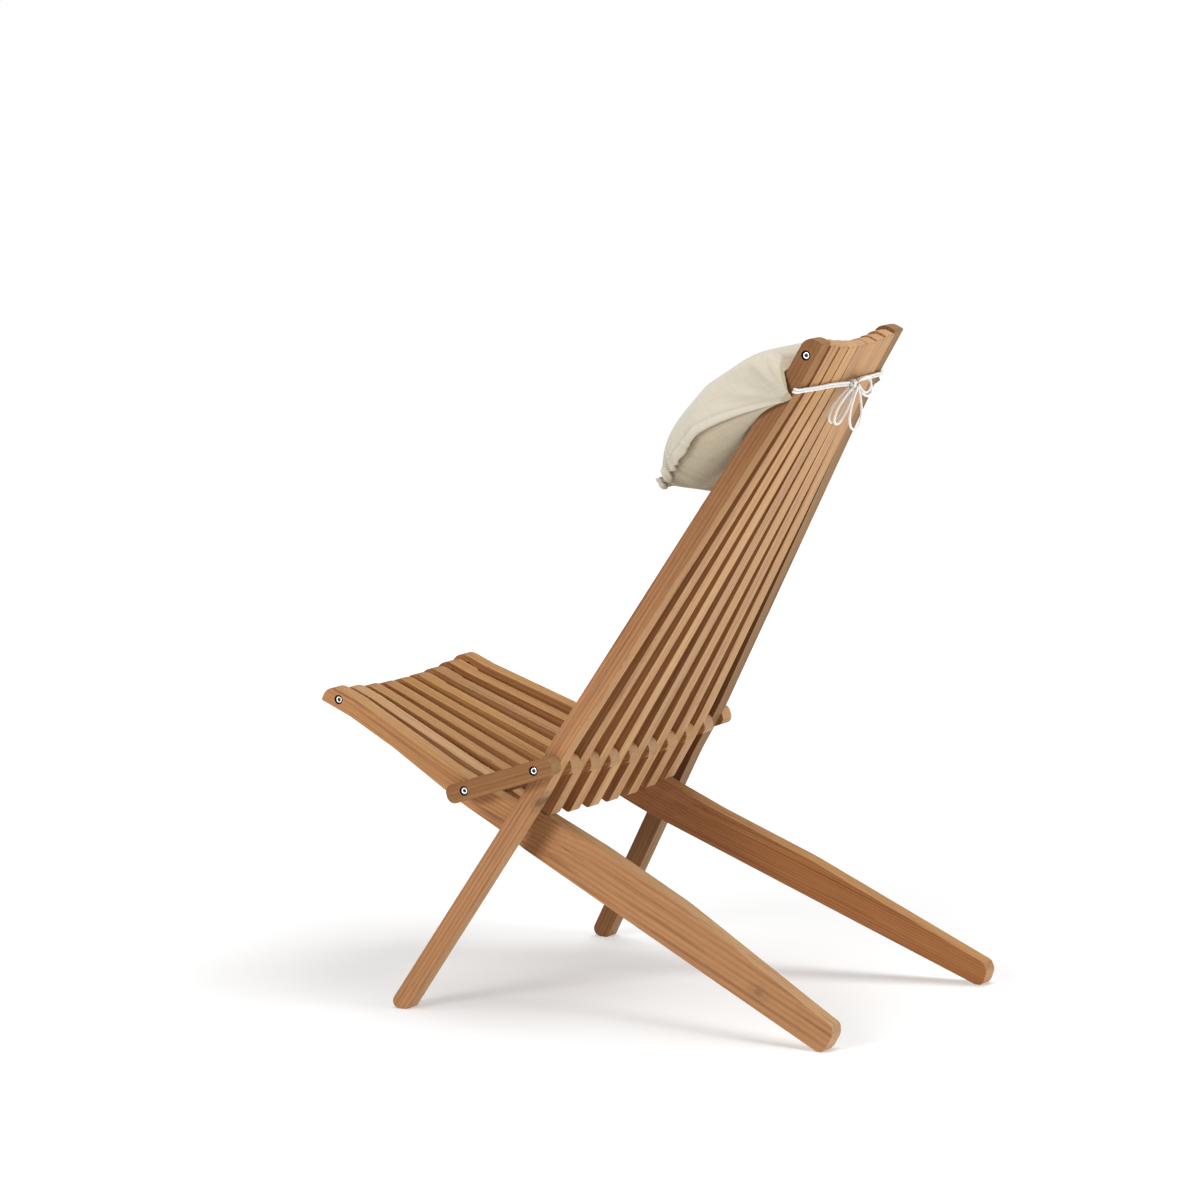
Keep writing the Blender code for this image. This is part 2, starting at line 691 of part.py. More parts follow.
bm = bmesh.new()
bmesh.ops.create_uvsphere(bm, u_segments=14, v_segments=9, radius=1.0)
for v in bm.verts:
    a, b, c = v.co
    v.co = on_back(knot_u + 0.0062 * b, knot_n + 0.0052 * c, knot_x + KNOT_R * a)
add_mesh("cord_knot", bm, CORD_WHITE, BACK, smooth=True)


def bow_loop(name, base, tip, width, count=26):
    """Drooping loop of the bow: offsets from the knot's middle, in mm.

    A teardrop that leaves the knot at base, rounds off at tip and is about
    one and a half times width across.
    """
    base, tip, width = Vector(base), Vector(tip), Vector(width)

    def at(t):
        out = (1 - math.cos(2 * math.pi * t)) / 2
        side = math.sin(2 * math.pi * t) * math.sin(math.pi * t)
        return base + (tip - base) * out + width * side

    def buried(p):
        rise, rear = p.y * U.x + p.z * U.y, p.y * N.x + p.z * N.y
        return ((p.x / (KNOT_R / MM + 1.4)) ** 2 + (rise / 7.6) ** 2
                + (rear / 6.6) ** 2) < 1.0

    steps = 200
    first = next(j for j in range(steps) if not buried(at(j / steps)))
    last = next(j for j in range(steps, 0, -1) if not buried(at(j / steps)))
    way = [knot_at + at((first + (last - first) * j / 12) / steps) * MM
           for j in range(13)]
    return cord(name, way, count)


for name, base, tip, width in (
        ("cord_loop_r_outer", (2.0, -0.5, -3.0), (37, -11, -41), (-8.5, 0, -8.5)),
        ("cord_loop_r_inner", (0.5, 2.8, -3.0), (38, -3, -43), (-10, 0, -7)),
        ("cord_tail", (-3.2, 5.8, -3.4), (16, 11, -52), (-12.5, 3.4, 0)),
        ("cord_loop_l_outer", (-2.0, 2.1, 1.5), (-42, 4.3, -9), (0, 0, 14)),
        ("cord_loop_l_inner", (-3.0, 5.4, 2.2), (-28, 10, -4.6), (-1.5, 1.5, 11.5))):
    bow_loop(name, base, tip, width)
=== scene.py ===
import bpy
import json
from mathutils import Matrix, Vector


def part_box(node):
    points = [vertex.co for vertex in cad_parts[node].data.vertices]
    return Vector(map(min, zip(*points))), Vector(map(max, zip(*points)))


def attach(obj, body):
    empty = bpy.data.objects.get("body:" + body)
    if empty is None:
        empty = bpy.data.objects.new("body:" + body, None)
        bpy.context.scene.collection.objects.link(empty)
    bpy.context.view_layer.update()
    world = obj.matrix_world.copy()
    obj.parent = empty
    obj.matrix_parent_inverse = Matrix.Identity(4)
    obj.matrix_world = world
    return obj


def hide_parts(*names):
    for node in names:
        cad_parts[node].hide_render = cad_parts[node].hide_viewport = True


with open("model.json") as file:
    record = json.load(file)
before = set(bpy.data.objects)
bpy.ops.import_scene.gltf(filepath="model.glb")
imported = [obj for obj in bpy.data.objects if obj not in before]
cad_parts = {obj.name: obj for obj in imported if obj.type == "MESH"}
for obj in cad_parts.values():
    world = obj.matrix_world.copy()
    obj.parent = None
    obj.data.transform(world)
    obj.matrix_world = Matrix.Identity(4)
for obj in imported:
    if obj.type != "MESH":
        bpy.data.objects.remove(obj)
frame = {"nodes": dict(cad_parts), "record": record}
"""Looks of the folding slatted lounge chair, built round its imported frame.

Every stick, link and spacer becomes a copy of its CAD solid with eased edges
and teak that runs along it; the neck pillow, its tie cords and their bow are
modelled anew in the space of their CAD solids.
"""
import json
import math
import random

import bmesh
import bpy
import numpy as np
from mathutils import Matrix, Vector

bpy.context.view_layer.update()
random.seed(11)

# ------------------------------------------------- the frame's own dimensions
MM = 0.001
Y_DATUM = -0.029591
BACK_LEAN = math.radians(30.34)
SEAT_SLOPE = math.radians(22.96)
HALF_D = 0.01125
STICK_T = 0.0232
COLUMN = 0.0238
BACK_PITCH = 0.0237
SEAT_PITCH = 0.0384
ROD_FRONT = Vector((0.0, Y_DATUM - 0.3031, 0.3463))
ROD_SEAT = Vector((0.0, Y_DATUM - 0.0937, 0.2625))
ROD_BACK = Vector((0.0, Y_DATUM, 0.2942))
U = Vector((0.0, math.sin(BACK_LEAN), math.cos(BACK_LEAN)))     # up the back
N = Vector((0.0, math.cos(BACK_LEAN), -math.sin(BACK_LEAN)))    # out of its rear
T = Vector((0.0, math.cos(SEAT_SLOPE), -math.sin(SEAT_SLOPE)))  # rearwards, seat
M = Vector((0.0, math.sin(SEAT_SLOPE), math.cos(SEAT_SLOPE)))   # up from the seat
BACK_SET = 0.0043
BACK_ROD_TOP = 0.5716
ROD_TOP = ROD_BACK + N * BACK_SET + U * BACK_ROD_TOP


def on_back(u, n, x):
    """Point u up the back, n behind the outer slats' axis, x across."""
    return ROD_BACK + N * (BACK_SET + n) + U * u + Vector((x, 0.0, 0.0))


# -------------------------------------------------------------------- camera
target = Vector((0.0, -0.065591, 0.46536))
azimuth, elevation = math.radians(61.03), math.radians(8.13)
toward = Vector((math.sin(azimuth) * math.cos(elevation),
                 math.cos(azimuth) * math.cos(elevation), math.sin(elevation)))
camera = bpy.data.objects.new("photo_camera", bpy.data.cameras.new("photo_camera"))
bpy.context.scene.collection.objects.link(camera)
right = (-toward).cross(Vector((0, 0, 1))).normalized()
above = right.cross(-toward).normalized()
roll = math.radians(0.078)
right, above = (right * math.cos(roll) + above * math.sin(roll),
                above * math.cos(roll) - right * math.sin(roll))
camera.matrix_world = (Matrix.Translation(target + toward * 6.8769)
                       @ Matrix((right, above, toward)).transposed().to_4x4())
camera.data.sensor_width = 36.0
camera.data.lens = 36.0 * 5730.1 / 1200
camera.data.clip_start = 0.05
bpy.context.scene.camera = camera


# ------------------------------------------------------------------ materials
class Nodes:
    """Small helper to write a node tree as code."""

    def __init__(self, name):
        self.mat = bpy.data.materials.new(name)
        self.mat.use_nodes = True
        self.tree = self.mat.node_tree
        self.bsdf = self.tree.nodes["Principled BSDF"]
        self.out = self.tree.nodes["Material Output"]

    def node(self, kind, **values):
        n = self.tree.nodes.new(kind)
        for key, value in values.items():
            if key.startswith("in_"):
                key = key[3:]
                index = int(key) if key.isdigit() else key.replace("_", " ")
                self.put(value, n.inputs[index])
            else:
                setattr(n, key, value)
        return n

    def put(self, value, socket):
        if hasattr(value, "is_output"):
            self.tree.links.new(value, socket)
        elif hasattr(value, "outputs"):
            self.tree.links.new(value.outputs[0], socket)
        else:
            socket.default_value = value

    def math(self, op, a, b=0.0, c=None, clamp=False):
        n = self.tree.nodes.new("ShaderNodeMath")
        n.operation, n.use_clamp = op, clamp
        self.put(a, n.inputs[0])
        self.put(b, n.inputs[1])
        if c is not None:
            self.put(c, n.inputs[2])
        return n.outputs[0]

    def mix(self, factor, a, b, blend="MIX"):
        n = self.tree.nodes.new("ShaderNodeMix")
        n.data_type, n.blend_type = "RGBA", blend
        n.clamp_factor = True
        self.put(factor, n.inputs[0])
        self.put(a, n.inputs[6])
        self.put(b, n.inputs[7])
        return n.outputs[2]

    def attribute(self, name, output="Vector"):
        n = self.tree.nodes.new("ShaderNodeAttribute")
        n.attribute_name = name
        return n.outputs[output]

    def ramp(self, value, stops, interpolation="LINEAR"):
        n = self.tree.nodes.new("ShaderNodeValToRGB")
        n.color_ramp.interpolation = interpolation
        while len(n.color_ramp.elements) < len(stops):
            n.color_ramp.elements.new(0.5)
        for element, (place, colour) in zip(n.color_ramp.elements, stops):
            element.position = place
            element.color = (*colour, 1.0) if len(colour) == 3 else colour
        self.put(value, n.inputs[0])
        return n.outputs[0]

    def noise(self, vector, scale, detail=3.0, roughness=0.5, distortion=0.0):
        n = self.tree.nodes.new("ShaderNodeTexNoise")
        self.put(vector, n.inputs["Vector"])
        n.inputs["Scale"].default_value = scale
        n.inputs["Detail"].default_value = detail
        n.inputs["Roughness"].default_value = roughness
        n.inputs["Distortion"].default_value = distortion
        return n.outputs["Fac"]

    def stretch(self, vector, scale):
        n = self.tree.nodes.new("ShaderNodeVectorMath")
        n.operation = "MULTIPLY"
        self.put(vector, n.inputs[0])
        n.inputs[1].default_value = scale
        return n.outputs[0]

    def bump(self, height, strength, distance, normal=None):
        n = self.tree.nodes.new("ShaderNodeBump")
        n.inputs["Strength"].default_value = strength
        n.inputs["Distance"].default_value = distance
        self.put(height, n.inputs["Height"])
        if normal is not None:
            self.put(normal, n.inputs["Normal"])
        return n.outputs[0]


def smooth_step(t):
    t = max(0.0, min(1.0, t))
    return t * t * (3 - 2 * t)


def grey(v):
    return (v, v, v)


def teak():
    """Oiled teak whose grain runs along the attribute 'grain', Z lengthwise.

    'tone' carries each stick's own warmth (X) and brightness (Y), and along
    front_leg_stick_r painted light; 'endgrain' is 1 where a face cuts across
    the fibres; 'broad' carries painted shade on the side faces.
    """
    m = Nodes("teak_wood")
    grain = m.attribute("grain")
    tone = m.node("ShaderNodeSeparateXYZ", in_0=m.attribute("tone"))
    end = m.attribute("endgrain", "Fac")
    # the fibres wander sideways as they run
    wander = m.noise(m.stretch(grain, (9.0, 9.0, 3.0)), 1.0, 1.0)
    push = m.math("MULTIPLY", m.math("SUBTRACT", wander, 0.5), 0.012)
    offset = m.node("ShaderNodeCombineXYZ", in_0=push, in_1=push)
    run = m.node("ShaderNodeVectorMath", operation="ADD", in_0=grain, in_1=offset)
    broad = m.noise(m.stretch(run, (75.0, 75.0, 1.5)), 1.0, 2.0, 0.5)
    streak = m.noise(m.stretch(run, (680.0, 680.0, 5.0)), 1.0, 3.0, 0.6)
    fibre = m.noise(m.stretch(run, (1700.0, 1700.0, 26.0)), 1.0, 2.0, 0.6)
    pores = m.noise(m.stretch(run, (2300.0, 2300.0, 100.0)), 1.0, 1.0, 0.5)
    rings = m.node("ShaderNodeTexWave", wave_type="RINGS",
                   rings_direction="Z", wave_profile="SIN",
                   in_Vector=m.stretch(grain, (110.0, 70.0, 0.9)), in_Scale=1.0,
                   in_Distortion=2.2, in_Detail=1.5, in_Detail_Scale=0.6,
                   in_Detail_Roughness=0.55)
    slow = m.noise(m.stretch(grain, (34.0, 34.0, 1.9)), 1.0, 2.0, 0.5)
    warm = m.math("ADD", tone.outputs[0], m.math("MULTIPLY", m.math(
        "SUBTRACT", slow, 0.5), 0.55), clamp=True)
    pale = m.mix(warm, (0.530, 0.318, 0.138, 1), (0.482, 0.264, 0.108, 1))
    deep = m.mix(warm, (0.325, 0.150, 0.050, 1), (0.270, 0.110, 0.036, 1))
    depth = m.math("ADD", m.math("MULTIPLY", broad, 0.26),
                   m.math("MULTIPLY", streak, 0.34))
    depth = m.math("ADD", depth, m.math("MULTIPLY", rings.outputs["Fac"], 0.12))
    depth = m.math("ADD", depth, m.math("MULTIPLY", fibre, 0.28))
    line = m.ramp(depth, [(0.34, grey(0.0)), (0.50, grey(0.34)), (0.66, grey(1.0))])
    colour = m.mix(line, pale, deep)
    # darker heart streaks, some a hand long
    heart_run = m.noise(m.stretch(run, (210.0, 210.0, 3.4)), 1.0, 2.0, 0.5)
    colour = m.mix(m.ramp(heart_run, [(0.56, grey(0.0)), (0.72, grey(0.55))]),
                   colour, (0.185, 0.072, 0.024, 1))
    dash = m.ramp(pores, [(0.26, grey(1.0)), (0.36, grey(0.0))])
    colour = m.mix(m.math("MULTIPLY", dash, 0.30), colour, (0.14, 0.052, 0.018, 1))
    # a knot where the piece has one: 'figure' is (deep, along, strength) from it
    figure = m.node("ShaderNodeSeparateXYZ", in_0=m.attribute("figure"))
    warp = m.math("MULTIPLY", m.math("SUBTRACT", m.noise(m.stretch(
        grain, (150.0, 150.0, 70.0)), 1.0, 2.0, 0.6), 0.5), 0.9)
    deep_off = m.math("MULTIPLY", figure.outputs[0], 1 / 0.0062)
    long_off = m.math("MULTIPLY", figure.outputs[1], 1 / 0.0105)
    away = m.math("SQRT", m.math("ADD", m.math("MULTIPLY", deep_off, deep_off),
                                 m.math("MULTIPLY", long_off, long_off)))
    away = m.math("ADD", away, warp)
    knot_core = m.ramp(m.math("MULTIPLY", away, 0.25), [
        (0.06, grey(0.95)), (0.16, grey(0.62)), (0.22, grey(0.25)),
        (0.30, grey(0.42)), (0.42, grey(0.10)), (0.70, grey(0.0))])
    colour = m.mix(m.math("MULTIPLY", knot_core, figure.outputs[2]), colour,
                   (0.085, 0.034, 0.014, 1))
    # cut ends: dry, greyer and speckled
    speck = m.noise(m.stretch(grain, (620.0, 620.0, 620.0)), 1.0, 3.0, 0.7)
    blot = m.noise(m.stretch(grain, (120.0, 120.0, 120.0)), 1.0, 2.0, 0.6)
    cut = m.mix(m.ramp(speck, [(0.38, grey(0.0)), (0.62, grey(1.0))]),
                (0.50, 0.305, 0.145, 1), (0.30, 0.150, 0.064, 1))
    cut = m.mix(m.math("MULTIPLY", blot, 0.5), cut, (0.42, 0.262, 0.140, 1))
    colour = m.mix(m.math("MULTIPLY", end, 0.55), colour, cut)
    bright = m.node("ShaderNodeHueSaturation", in_Hue=0.5,
                    in_Value=tone.outputs[1], in_Color=colour,
                    in_Saturation=tone.outputs[2])
    # painted shade: the side faces are darkened and reddened, most where they face across a slot,
    # standing in for the shade between the slats
    side_shaded_colour = m.mix(m.math("MULTIPLY", m.attribute("broad", "Fac"), 0.75),
                  bright.outputs[0], (0.72, 0.475, 0.27, 1), "MULTIPLY")
    # handling darkens the eased edges a little
    worn = m.noise(m.stretch(grain, (40.0, 40.0, 14.0)), 1.0, 3.0, 0.6)
    edge = m.math("MULTIPLY", m.attribute("edge", "Fac"),
                  m.math("MULTIPLY", worn, 0.55))
    colour = m.mix(edge, side_shaded_colour, (0.62, 0.50, 0.40, 1), "MULTIPLY")
    m.put(colour, m.bsdf.inputs["Base Color"])
    rough = m.math("ADD", 0.50, m.math("MULTIPLY", streak, 0.22))
    m.put(rough, m.bsdf.inputs["Roughness"])
    m.bsdf.inputs["Specular IOR Level"].default_value = 0.34
    relief = m.math("ADD", m.math("MULTIPLY", streak, 0.5),
                    m.math("MULTIPLY", fibre, 0.5))
    relief = m.math("SUBTRACT", relief, m.math("MULTIPLY", dash, 0.5))
    m.put(m.bump(relief, 0.35, 0.0004), m.bsdf.inputs["Normal"])
    return m.mat


def painted_recess_shade():
    """Painted shade: near-black colour standing in for the shade inside each bolt hole and bolt
    socket.
    """
    m = Nodes("painted_shade_recess")
    place = m.node("ShaderNodeTexCoord").outputs["Object"]
    dust = m.noise(m.stretch(place, (900.0, 900.0, 900.0)), 1.0, 3.0, 0.6)
    m.put(m.ramp(dust, [(0.4, (0.006, 0.006, 0.006)), (0.75, (0.03, 0.027, 0.025))]),
          m.bsdf.inputs["Base Color"])
    m.put(m.math("ADD", 0.42, m.math("MULTIPLY", dust, 0.3)),
          m.bsdf.inputs["Roughness"])
    m.put(m.bump(dust, 0.3, 0.0002), m.bsdf.inputs["Normal"])
    return m.mat


def steel(name, shade, rough):
    """Turned stainless steel with fine tooling marks and a few stains."""
    m = Nodes(name)
    place = m.node("ShaderNodeTexCoord").outputs["Object"]
    lathe = m.noise(m.stretch(place, (300.0, 5200.0, 5200.0)), 1.0, 2.0, 0.6)
    stain = m.noise(m.stretch(place, (260.0, 260.0, 260.0)), 1.0, 3.0, 0.55)
    m.put(m.mix(m.ramp(stain, [(0.45, grey(0.0)), (0.8, grey(0.6))]),
                (shade, shade, shade * 0.985, 1),
                (shade * 0.55, shade * 0.54, shade * 0.52, 1)),
          m.bsdf.inputs["Base Color"])
    m.bsdf.inputs["Metallic"].default_value = 1.0
    m.put(m.math("ADD", rough, m.math("MULTIPLY", lathe, 0.16)),
          m.bsdf.inputs["Roughness"])
    m.put(m.bump(lathe, 0.18, 0.0001), m.bsdf.inputs["Normal"])
    return m.mat


def linen(name, base, shade):
    """Plain-woven linen: slubby threads along the attribute 'weave' (metres)."""
    m = Nodes(name)
    cloth = m.attribute("weave")
    bend = m.noise(m.stretch(cloth, (60.0, 60.0, 60.0)), 1.0, 2.0)
    shift = m.math("MULTIPLY", m.math("SUBTRACT", bend, 0.5), 0.0022)
    offset = m.node("ShaderNodeCombineXYZ", in_0=shift, in_1=shift)
    lay = m.node("ShaderNodeVectorMath", operation="ADD", in_0=cloth, in_1=offset)
    warp = m.node("ShaderNodeTexWave", wave_type="BANDS", bands_direction="X",
                  in_Vector=lay, in_Scale=330.0, in_Distortion=0.6,
                  in_Detail=1.0, in_Detail_Scale=2.0)
    weft = m.node("ShaderNodeTexWave", wave_type="BANDS", bands_direction="Y",
                  in_Vector=lay, in_Scale=330.0, in_Distortion=0.6,
                  in_Detail=1.0, in_Detail_Scale=2.0)
    slub_x = m.noise(m.stretch(lay, (760.0, 48.0, 1.0)), 1.0, 2.0, 0.6)
    slub_y = m.noise(m.stretch(lay, (48.0, 760.0, 1.0)), 1.0, 2.0, 0.6)
    weave = m.math("MULTIPLY",
                   m.math("ADD", warp.outputs["Fac"], weft.outputs["Fac"]), 0.5)
    slub = m.math("MULTIPLY", m.math("ADD", slub_x, slub_y), 0.5)
    blotch = m.noise(m.stretch(cloth, (22.0, 22.0, 22.0)), 1.0, 3.0, 0.55)
    tone = m.math("ADD", m.math("MULTIPLY", weave, 0.22),
                  m.math("MULTIPLY", slub, 0.78))
    colour = m.mix(m.ramp(tone, [(0.32, grey(0.0)), (0.72, grey(1.0))]), shade, base)
    colour = m.mix(m.ramp(blotch, [(0.35, grey(0.30)), (0.6, grey(0.0))]),
                   colour, tuple(0.86 * c for c in base[:3]) + (1.0,))
    # painted shade: the rear panel, facing down and back, is darkened
    colour = m.mix(m.attribute("rear", "Fac"), colour, (0.80, 0.75, 0.68, 1), "MULTIPLY")
    # painted shade: darkened along the seam's creases and in the gathers' valleys
    colour = m.mix(m.attribute("painted_crease_shade", "Fac"), colour, (0.46, 0.40, 0.32, 1), "MULTIPLY")
    m.put(colour, m.bsdf.inputs["Base Color"])
    m.put(m.math("ADD", 0.82, m.math("MULTIPLY", slub, 0.14)),
          m.bsdf.inputs["Roughness"])
    m.bsdf.inputs["Specular IOR Level"].default_value = 0.18
    m.bsdf.inputs["Sheen Weight"].default_value = 0.25
    m.bsdf.inputs["Sheen Roughness"].default_value = 0.55
    crinkle = m.noise(m.stretch(cloth, (85.0, 150.0, 85.0)), 1.0, 3.0, 0.55)
    height = m.math("ADD", m.math("MULTIPLY", weave, 0.6),
                    m.math("ADD", m.math("MULTIPLY", slub, 0.8),
                           m.math("MULTIPLY", crinkle, 2.8)))
    m.put(m.bump(height, 0.40, 0.0004), m.bsdf.inputs["Normal"])
    return m.mat


def cotton_cord():
    """White braided cotton: fuzzy strands, with painted shade in the grooves between them."""
    m = Nodes("cotton_cord")
    place = m.node("ShaderNodeTexCoord").outputs["Object"]
    fuzz = m.noise(m.stretch(place, (2600.0, 2600.0, 2600.0)), 1.0, 3.0, 0.6)
    tint = m.noise(m.stretch(place, (90.0, 90.0, 90.0)), 1.0, 2.0, 0.5)
    body = m.mix(m.attribute("painted_groove_shade", "Fac"), (0.86, 0.855, 0.84, 1),
                 (0.50, 0.49, 0.465, 1))
    body = m.mix(m.ramp(fuzz, [(0.4, grey(0.0)), (0.8, grey(0.35))]), body,
                 (0.80, 0.785, 0.75, 1))
    body = m.mix(m.math("MULTIPLY", tint, 0.2), body, (0.86, 0.83, 0.77, 1))
    m.put(body, m.bsdf.inputs["Base Color"])
    m.put(m.math("ADD", 0.74, m.math("MULTIPLY", fuzz, 0.2)),
          m.bsdf.inputs["Roughness"])
    m.bsdf.inputs["Sheen Weight"].default_value = 0.3
    m.put(m.bump(fuzz, 0.3, 0.0002), m.bsdf.inputs["Normal"])
    return m.mat


TEAK = teak()
RECESS_PAINTED_SHADE = painted_recess_shade()
BOLT = steel("bolt_steel", 0.86, 0.16)
ROD = steel("rod_steel", 0.55, 0.26)
LINEN = linen("linen_cream", (0.570, 0.520, 0.416, 1), (0.445, 0.400, 0.310, 1))
CORD = cotton_cord()

nodes = frame["nodes"]
scene = bpy.context.scene


def link(ob):
    scene.collection.objects.link(ob)
    return ob


def settle(ob):
    """Applies an object's modifiers to its mesh."""
    bpy.context.view_layer.update()
    graph = bpy.context.evaluated_depsgraph_get()
    mesh = bpy.data.meshes.new_from_object(ob.evaluated_get(graph),
                                           preserve_all_data_layers=True,
                                           depsgraph=graph)
    ob.modifiers.clear()
    old = ob.data
    ob.data = mesh
    bpy.data.meshes.remove(old)
    mesh.name = ob.name
    return ob


def put_attribute(mesh, name, kind, domain, values):
    layer = mesh.attributes.get(name) or mesh.attributes.new(name, kind, domain)
    field = "vector" if kind == "FLOAT_VECTOR" else "value"
    layer.data.foreach_set(field, np.asarray(values, dtype=np.float32).ravel())


# ------------------------------------------------------------------- cords
CORD_R = 0.0015
KNOT = (-0.007, 0.5366)
KNOT_R = 0.0068


def rear_skin(x):
    """Height of a cord's axis above the outer slats' axis, over the dish."""
    bulge = max(0.0, 1.0 - (x / (4.5 * BACK_PITCH)) ** 2)
    return HALF_D + 0.0005 + CORD_R + 0.0059 * bulge


knot_x, knot_u = KNOT
knot_n = rear_skin(knot_x) + 0.0058
knot_at = on_back(knot_u, knot_n, knot_x)


def smooth_points(way, count):
    """Evenly spaced points on a smooth curve through the given ones."""
    gap = [(b - a).length for a, b in zip(way, way[1:])]
    rate = [(b - a) / g for a, b, g in zip(way, way[1:], gap)]
    slope = [rate[0]]
    for i in range(1, len(way) - 1):
        slope.append((rate[i - 1] * gap[i] + rate[i] * gap[i - 1])
                     / (gap[i] + gap[i - 1]))
    slope.append(rate[-1])
    dense = []
    for i, g in enumerate(gap):
        for j in range(24):
            t = j / 24
            dense.append(way[i] * (1 - t) ** 2 * (1 + 2 * t)
                         + way[i + 1] * t * t * (3 - 2 * t)
                         + slope[i] * g * t * (1 - t) ** 2
                         - slope[i + 1] * g * t * t * (1 - t))
    dense.append(way[-1])
    length = [0.0]
    for a, b in zip(dense, dense[1:]):
        length.append(length[-1] + (b - a).length)
    out, i = [], 0
    for j in range(count):
        want = length[-1] * j / (count - 1)
        while i < len(length) - 2 and length[i + 1] < want:
            i += 1
        t = (want - length[i]) / max(length[i + 1] - length[i], 1e-9)
        out.append(dense[i].lerp(dense[i + 1], min(1.0, t)))
    return out


def run_length(pts):
    return sum((b - a).length for a, b in zip(pts, pts[1:]))


def braid(bm, painted_groove_shade, path, radius, closed=False, twist=0.0):
    """Braided tube along a path: two sets of strands cross on its surface."""
    count, sides, picks = len(path), 20, 5
    rings = []
    frame_n = None
    along = 0.0
    for i, p in enumerate(path):
        a = path[(i - 1) % count] if closed else path[max(i - 1, 0)]
        b = path[(i + 1) % count] if closed else path[min(i + 1, count - 1)]
        d = (b - a).normalized()
        if frame_n is None:
            frame_n = d.orthogonal().normalized()
        frame_n = (frame_n - d * frame_n.dot(d)).normalized()
        side = d.cross(frame_n)
        if i:
            along += (p - path[i - 1]).length
        ring = []
        for s in range(sides):
            t = 2 * math.pi * s / sides
            k = 2 * math.pi * along / 0.0044
            one, two = math.cos(picks * t + k), math.cos(picks * t - k)
            height = max(one, two)
            r = radius * (0.925 + 0.075 * height)
            v = bm.verts.new(p + (frame_n * math.cos(t) + side * math.sin(t)) * r)
            # painted shade: darker where the surface dips between strands
            v[painted_groove_shade] = max(0.0, min(1.0, 0.45 - 0.75 * height))
            ring.append(v)
        rings.append(ring)
    spans = count if closed else count - 1
    for i in range(spans):
        r0, r1 = rings[i], rings[(i + 1) % count]
        for s in range(sides):
            bm.faces.new((r0[s], r1[s], r1[(s + 1) % sides], r0[(s + 1) % sides]))
    if not closed:
        for ring, order in ((rings[0], 1), (rings[-1], -1)):
            bm.faces.new(ring[::order])


def cord_mesh(name, paths, radius, closed=False):
    bm = bmesh.new()
    painted_groove_shade = bm.verts.layers.float.new("painted_groove_shade")
    for path in paths:
        braid(bm, painted_groove_shade, path, radius, closed)
    bmesh.ops.recalc_face_normals(bm, faces=bm.faces)
    mesh = bpy.data.meshes.new(name)
    bm.to_mesh(mesh)
    bm.free()
    mesh.shade_smooth()
    mesh.materials.append(CORD)
    return link(bpy.data.objects.new(name, mesh))


def tie_cord(node, way, count):
    """One run of tie cord along part.py's route, with its braid modelled."""
    route = smooth_points(way, count)
    length = run_length(route)
    fine = smooth_points(route, max(12, round(length / 0.00055)))
    ob = cord_mesh("tie_" + node[5:], [fine], CORD_R)
    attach(ob, "back")
    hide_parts(node)
    return ob


def strand(node, side, step):
    start_u = (0.5315 if side > 0 else 0.5330) + step
    end_u = knot_u + step
    way = [on_back(start_u, 0.0108, side * 0.1155),
           on_back(start_u, 0.0124, side * 0.1144)]
    stop = knot_x + side * (KNOT_R + 0.0004)
    for j in range(7):
        t = j / 6
        x = side * 0.1095 * (1 - t) + stop * t
        u = start_u * (1 - t) + end_u * t
        lift = 0.0042 * max(0.0, (t - 0.72) / 0.28)
        way.append(on_back(u, rear_skin(x) + lift, x))
    tie_cord(node, way, 22 if side > 0 else 16)


strand("cord_r_upper", 1, 0.0018)
strand("cord_r_lower", 1, -0.0018)
strand("cord_l_upper", -1, 0.0018)
strand("cord_l_lower", -1, -0.0018)


def bow_loop(node, base, tip, width):
    """Drooping loop of the bow: offsets from the knot's middle, in mm."""
    base, tip, width = Vector(base), Vector(tip), Vector(width)

    def at(t):
        out = (1 - math.cos(2 * math.pi * t)) / 2
        side = math.sin(2 * math.pi * t) * math.sin(math.pi * t)
        return base + (tip - base) * out + width * side

    def buried(p):
        rise, rear = p.y * U.y + p.z * U.z, p.y * N.y + p.z * N.z
        return ((p.x / (KNOT_R / MM + 1.4)) ** 2 + (rise / 7.6) ** 2
                + (rear / 6.6) ** 2) < 1.0

    steps = 200
    first = next(j for j in range(steps) if not buried(at(j / steps)))
    last = next(j for j in range(steps, 0, -1) if not buried(at(j / steps)))
    way = [knot_at + at((first + (last - first) * j / 12) / steps) * MM
           for j in range(13)]
    tie_cord(node, way, 26)


for node, base, tip, width in (
        ("cord_loop_r_outer", (2.0, -0.5, -3.0), (37, -11, -41), (-8.5, 0, -8.5)),
        ("cord_loop_r_inner", (0.5, 2.8, -3.0), (38, -3, -43), (-10, 0, -7)),
        ("cord_tail", (-3.2, 5.8, -3.4), (16, 11, -52), (-12.5, 3.4, 0)),
        ("cord_loop_l_outer", (-2.0, 2.1, 1.5), (-42, 4.3, -9), (0, 0, 14)),
        ("cord_loop_l_inner", (-3.0, 5.4, 2.2), (-28, 10, -4.6), (-1.5, 1.5, 11.5))):
    bow_loop(node, base, tip, width)


